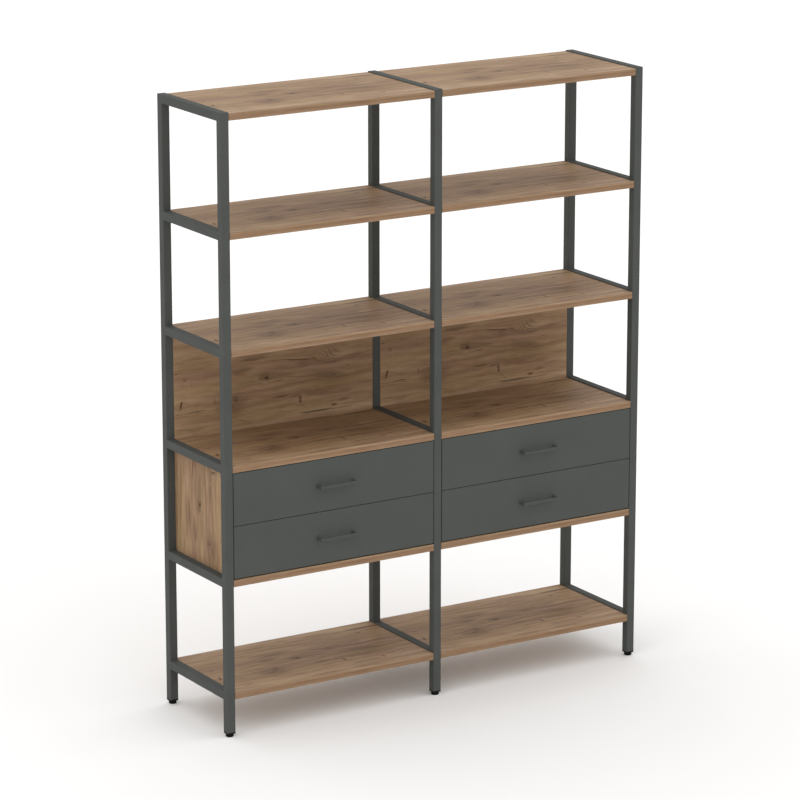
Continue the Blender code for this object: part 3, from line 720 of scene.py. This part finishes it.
def roller(centre, plate_x):
    """A grooved wheel turning about X, and the rivet that ties it to its steel at plate_x."""
    half, hub, tyre = ROLLER_WIDTH / 2, RIVET + HUB_RIM, ROLLER_RADIUS - TYRE
    side = [
        (0.0, half), (hub, half), (hub + GROOVE_SLOPE, half - GROOVE), (tyre - GROOVE_SLOPE, half - GROOVE),
        (tyre, half), (ROLLER_RADIUS - TYRE_EDGE, half), (ROLLER_RADIUS, half - TYRE_EDGE)]
    profile = [(radius, -across) for radius, across in side] + side[::-1]
    wheel = turned(profile, ROLLER_SIDES, centre, "X")
    out = math.copysign(1.0, centre[0] - plate_x)
    length = abs(centre[0] - plate_x) + half
    rivet_profile = [
        (0.0, 0.0), (RIVET, 0.0), (RIVET, length), (RIVET * 1.5, length),
        (RIVET * 1.3, length + RIVET_HEAD * 0.7), (RIVET * 0.7, length + RIVET_HEAD),
        (0.0, length + RIVET_HEAD)]
    rivet = turned(rivet_profile, RIVET_SIDES, (0.0, 0.0, 0.0), "X")
    if out < 0:
        bmesh.ops.scale(rivet, verts=rivet.verts, vec=(-1.0, 1.0, 1.0))
        bmesh.ops.reverse_faces(rivet, faces=rivet.faces)
    bmesh.ops.translate(rivet, verts=rivet.verts, vec=(plate_x, centre[1], centre[2]))
    for face in rivet.faces:
        face.material_index = 1
    join(wheel, rivet)
    return wheel


def housing_face(bay, hand_name):
    """The face of a housing panel that looks into the drawer, and the way it looks."""
    low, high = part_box("case_panel_{}_{}".format(bay, hand_name))
    return (high.x, 1) if hand_name == "left" else (low.x, -1)


NYLON = make_finish("moulded_nylon", moulded_nylon)
for bay in BAYS:
    for tier in ("lower", "upper"):
        for hand_name in BAYS:
            node = "runner_{}_{}_{}".format(bay, tier, hand_name)
            low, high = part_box(node)
            wall, way = housing_face(bay, hand_name)
            columns = [wall + way * distance for distance in (GAP, GAP + STEEL, TRACK)]
            rows = [low.z, low.z + STEEL, high.z]
            angle = drawn_profile(
                columns, rows, lambda column, row: column == 0 or row == 0, low.y, high.y, "XZY")
            round_edges(angle, FOLD_RADIUS, FOLD_SEGMENTS)
            for distance in RUNNER_SCREWS:
                seat = (wall + way * (GAP + STEEL), low.y + distance, low.z + RUNNER_SCREW_HEIGHT)
                join(angle, socket_screw(
                    seat, (way, 0, 0), RUNNER_SCREW_HEAD, RUNNER_SCREW_RISE, RUNNER_SCREW_SHANK))
            add_piece(node + "_angle", angle, [ZINC], "carcass", node)
            centre = (
                wall + way * (GAP + STEEL + STANDOFF + ROLLER_WIDTH / 2), low.y + ROLLER_INSET,
                low.z + LEDGE_ROLLER_HEIGHT)
            add_piece(node + "_roller", roller(centre, wall + way * GAP), [NYLON, ZINC], "carcass")

# Drawer fronts and handles
# Each front is an 18 mm board faced and banded in plain matt melamine in the frames' colour. Its handle is
# a small bridge of 9 by 6 mm flat steel bar, coated like the frames and held by two screws from inside.
HANDLE_BAR = 6 * MM
HANDLE_EDGE = 0.8 * MM
DRAWERS = [(bay, tier) for bay in BAYS for tier in ("lower", "upper")]


def grey_melamine(tree, place):
    """Plain dyed melamine, pressed with a fine pearl texture of about a millimetre: very matt and even, with
    no figure."""
    cloud = add_node(tree, "TexNoise", {"Vector": place, "Scale": 1 / (120 * MM)})
    pearl = add_node(tree, "TexNoise", {"Vector": place, "Scale": 1 / (0.9 * MM)})
    return {
        "Base Color": add_node(tree, "ValToRGB", {"Fac": cloud}, stops=((0.3, "#4d504d"), (0.7, "#4f524f"))),
        "Roughness": add_node(tree, "MapRange", {"Value": pearl, "To Min": 0.56, "To Max": 0.68}),
        "Normal": add_node(tree, "Bump", {"Height": pearl, "Distance": 0.03 * MM, "Strength": 0.5}),
        "IOR": 1.45, "Specular IOR Level": 0.06}


def handle(low, high):
    """A flat bar bridging two short legs."""
    columns = [low.x, low.x + HANDLE_BAR, high.x - HANDLE_BAR, high.x]
    rows = [low.y, low.y + HANDLE_BAR, high.y]
    bm = drawn_profile(columns, rows, lambda column, row: column != 1 or row == 0, low.z, high.z, "XYZ")
    round_edges(bm, HANDLE_EDGE, CORNER_SEGMENTS)
    return bm


GREY_MELAMINE = make_finish("grey_melamine", grey_melamine)
for bay, tier in DRAWERS:
    drawer = "drawer_{}_{}".format(bay, tier)
    add_board(drawer + "_face", drawer + "_front", drawer, GREY_MELAMINE, GREY_MELAMINE)
    low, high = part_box(drawer + "_handle")
    add_piece(drawer + "_pull", handle(low, high), [POWDER_COAT], drawer, drawer + "_handle")
    screws = bmesh.new()
    inside_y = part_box(drawer + "_front")[1].y
    for x in (low.x + HANDLE_BAR / 2, high.x - HANDLE_BAR / 2):
        join(screws, socket_screw((x, inside_y, (low.z + high.z) / 2), (0, 1, 0)))
    add_piece(drawer + "_pull_screws", screws, [ZINC], drawer)

# Drawer boxes
# Folded steel sides, coated light grey, are hemmed at the top and turned in under the bottom board. Each has
# a ledge along its outer face and a nylon roller riveted on behind. The bottom and the back are pale
# melamine boards, and small angle brackets hold the front.
HEM, FLANGE, LEDGE = 6 * MM, 14 * MM, 9 * MM
WEB = 12.7 * MM  # from the housing's face to the side's upright sheet
TRACK_ROLLER_HEIGHT = STEEL + GAP + ROLLER_RADIUS
BRACKET, BRACKET_HEIGHT, BRACKET_RISE = 18 * MM, 62 * MM, 34 * MM
BRACKET_SIDE_GAP, BRACKET_FRONT_GAP = 0.2 * MM, 0.1 * MM
BRACKET_SCREW_HEAD, BRACKET_SCREW_RISE = 3.2 * MM, 1.5 * MM
BRACKET_SCREW_SPOTS, BRACKET_SCREW_REACH = (0.25, 0.75), 0.6  # as shares of a leg's height and width


def epoxy_coat(tree, place):
    """Thin grey epoxy on rolled steel: smooth, with faint lines from the rolls, 2 mm wide and some 40 mm
    long, along the sheet."""
    rolled = add_node(tree, "Mapping", {"Vector": place, "Scale": (1.0, 0.05, 1.0)})
    lines = add_node(tree, "TexNoise", {"Vector": rolled, "Scale": 1 / (2 * MM), "Detail": 3.0})
    grit = add_node(tree, "TexNoise", {"Vector": place, "Scale": 1 / (0.6 * MM)})
    return {
        "Base Color": add_node(tree, "ValToRGB", {"Fac": lines}, stops=((0.3, "#878a88"), (0.7, "#8f9290"))),
        "Roughness": add_node(tree, "MapRange", {"Value": lines, "To Min": 0.36, "To Max": 0.46}),
        "Normal": add_node(tree, "Bump", {"Height": grit, "Distance": 0.015 * MM, "Strength": 0.4}),
        "IOR": 1.5}


def pale_melamine(tree, place):
    """Pale grey melamine, the usual lining of drawers, with a print of woven linen. Its threads are drawn
    1.5 mm wide, about three times as coarse as real ones, so that they show."""
    threads = []
    for scale in ((1.0, 0.04, 1.0), (0.04, 1.0, 1.0)):
        drawn = add_node(tree, "Mapping", {"Vector": place, "Scale": scale})
        threads.append(add_node(tree, "TexNoise", {"Vector": drawn, "Scale": 1 / (1.5 * MM)}))
    weave = add_node(tree, "Math", {0: threads[0], 1: threads[1]}, operation="MULTIPLY")
    return {
        "Base Color": add_node(tree, "ValToRGB", {"Fac": weave}, stops=((0.12, "#9d998f"), (0.4, "#aeaaa1"))),
        "Roughness": add_node(tree, "MapRange", {"Value": weave, "To Min": 0.62, "To Max": 0.50}),
        "Normal": add_node(tree, "Bump", {"Height": weave, "Distance": 0.02 * MM, "Strength": 0.4}),
        "IOR": 1.45}


def folded_side(node, wall, way):
    """The side's folded sheet in its node's box. Seen from in front, its columns are the ledge, the upright
    sheet, the hem with the flange under it, and the rest of the flange."""
    low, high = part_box(node)
    columns = [wall + way * distance for distance in (WEB - LEDGE, WEB, WEB + STEEL, WEB + HEM, WEB + FLANGE)]
    rows = [low.z, low.z + STEEL, low.z + LEDGE_HEIGHT, low.z + LEDGE_HEIGHT + STEEL, high.z - STEEL, high.z]
    steel_rows = {0: (2,), 1: (0, 1, 2, 3, 4), 2: (0, 4), 3: (0,)}
    bm = drawn_profile(columns, rows, lambda column, row: row in steel_rows[column], low.y, high.y, "XZY")
    round_edges(bm, FOLD_RADIUS, FOLD_SEGMENTS)
    return bm


def bracket(wall, way, front_y, base_z):
    """An angle between the front and a drawer side, with a screw in each leg."""
    web_face = wall + way * (WEB + STEEL + BRACKET_SIDE_GAP)
    columns = [web_face, web_face + way * STEEL, web_face + way * BRACKET]
    rows = [front_y + BRACKET_FRONT_GAP, front_y + STEEL, front_y + BRACKET]
    bottom = base_z + BRACKET_RISE
    bm = drawn_profile(
        columns, rows, lambda column, row: column == 0 or row == 0, bottom, bottom + BRACKET_HEIGHT, "XYZ")
    round_edges(bm, FOLD_RADIUS, FOLD_SEGMENTS)
    out = BRACKET * BRACKET_SCREW_REACH
    for share in BRACKET_SCREW_SPOTS:
        z = bottom + BRACKET_HEIGHT * share
        for seat, direction in (
                ((web_face + way * out, front_y + STEEL, z), (0, 1, 0)),
                ((web_face + way * STEEL, front_y + out, z), (way, 0, 0))):
            join(bm, socket_screw(seat, direction, BRACKET_SCREW_HEAD, BRACKET_SCREW_RISE, STEEL))
    return bm


EPOXY = make_finish("epoxy_coated_steel", epoxy_coat)
PALE_MELAMINE = make_finish("pale_linen_melamine", pale_melamine)
for bay, tier in DRAWERS:
    drawer = "drawer_{}_{}".format(bay, tier)
    front_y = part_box(drawer + "_front")[1].y
    for hand_name in BAYS:
        node = "{}_side_{}".format(drawer, hand_name)
        wall, way = housing_face(bay, hand_name)
        low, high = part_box(node)
        add_piece(node + "_sheet", folded_side(node, wall, way), [EPOXY], drawer, node)
        centre = (
            wall + way * (WEB - STANDOFF - ROLLER_WIDTH / 2), high.y - ROLLER_INSET,
            low.z + TRACK_ROLLER_HEIGHT)
        add_piece(node + "_roller", roller(centre, wall + way * (WEB + STEEL)), [NYLON, ZINC], drawer)
        add_piece(
            node + "_bracket", bracket(wall, way, front_y, low.z), [ZINC], drawer)
    for part in ("bottom", "back"):
        add_board(
            "{}_{}_board".format(drawer, part), "{}_{}".format(drawer, part), drawer,
            PALE_MELAMINE, PALE_MELAMINE)

# Floor, light and camera
# A plain white floor runs on behind as the background. The light is one soft white dome, brighter overhead,
# as from a large ceiling of diffusers, so that the boards shade what is under them.
FLOOR_REACH, FLOOR_SQUARES = 60.0, 8
HORIZON_LIGHT, ZENITH_GAIN = 1.08, 0.16
CAMERA_PLACE = (-5.688, -9.1005, 3.670)
CAMERA_YAW, CAMERA_PITCH = 0.5568, 0.2570  # radians
CAMERA_LENS, CAMERA_SENSOR = 173.0, 36.0  # millimetres


def seamless_vinyl(tree, place):
    """White seamless vinyl from a roll: fully matt and clean, with a haze over metres that hardly shows."""
    haze = add_node(tree, "TexNoise", {"Vector": place, "Scale": 1 / (2000 * MM)})
    return {
        "Base Color": add_node(tree, "ValToRGB", {"Fac": haze}, stops=((0.3, "#f6f5f4"), (0.7, "#f7f6f5"))),
        "Roughness": 0.9, "Specular IOR Level": 0.0}


floor_mesh = bpy.data.meshes.new("floor")
bm = bmesh.new()
bmesh.ops.create_grid(bm, x_segments=FLOOR_SQUARES, y_segments=FLOOR_SQUARES, size=FLOOR_REACH)
bm.to_mesh(floor_mesh)
bm.free()
floor_mesh.materials.append(make_finish("seamless_vinyl", seamless_vinyl))
floor = bpy.data.objects.new("floor", floor_mesh)
bpy.context.scene.collection.objects.link(floor)

world = bpy.data.worlds.new("diffuser_dome")
bpy.context.scene.world = world
world.use_nodes = True
sky = world.node_tree
sky.nodes.clear()
upward = add_node(sky, "SeparateXYZ", {"Vector": add_node(sky, "TexCoord", {}, "Generated")}, "Z")
strength = add_node(sky, "Math", {0: upward, 1: ZENITH_GAIN, 2: HORIZON_LIGHT}, operation="MULTIPLY_ADD")
dome = add_node(sky, "Background", {"Color": linear("#ffffff"), "Strength": strength})
backdrop = add_node(sky, "Background", {"Color": linear("#ffffff"), "Strength": 1.0})
# The camera, gloss and glass see the dome as plain white
seen = 0.0
for kind_of_ray in ("Is Camera Ray", "Is Glossy Ray", "Is Transmission Ray"):
    ray = add_node(sky, "LightPath", {}, kind_of_ray)
    seen = add_node(sky, "Math", {0: ray, 1: seen}, operation="MAXIMUM")
shown = add_node(sky, "MixShader", {"Fac": seen, 1: dome, 2: backdrop})
add_node(sky, "OutputWorld", {"Surface": shown})

camera_data = bpy.data.cameras.new("camera")
camera_data.sensor_width = CAMERA_SENSOR
camera_data.lens = CAMERA_LENS
camera = bpy.data.objects.new("camera", camera_data)
camera.location = CAMERA_PLACE
camera.rotation_euler = (math.pi / 2 - CAMERA_PITCH, 0.0, -CAMERA_YAW)
bpy.context.scene.collection.objects.link(camera)
bpy.context.scene.camera = camera
bpy.context.scene.view_settings.view_transform = "Standard"
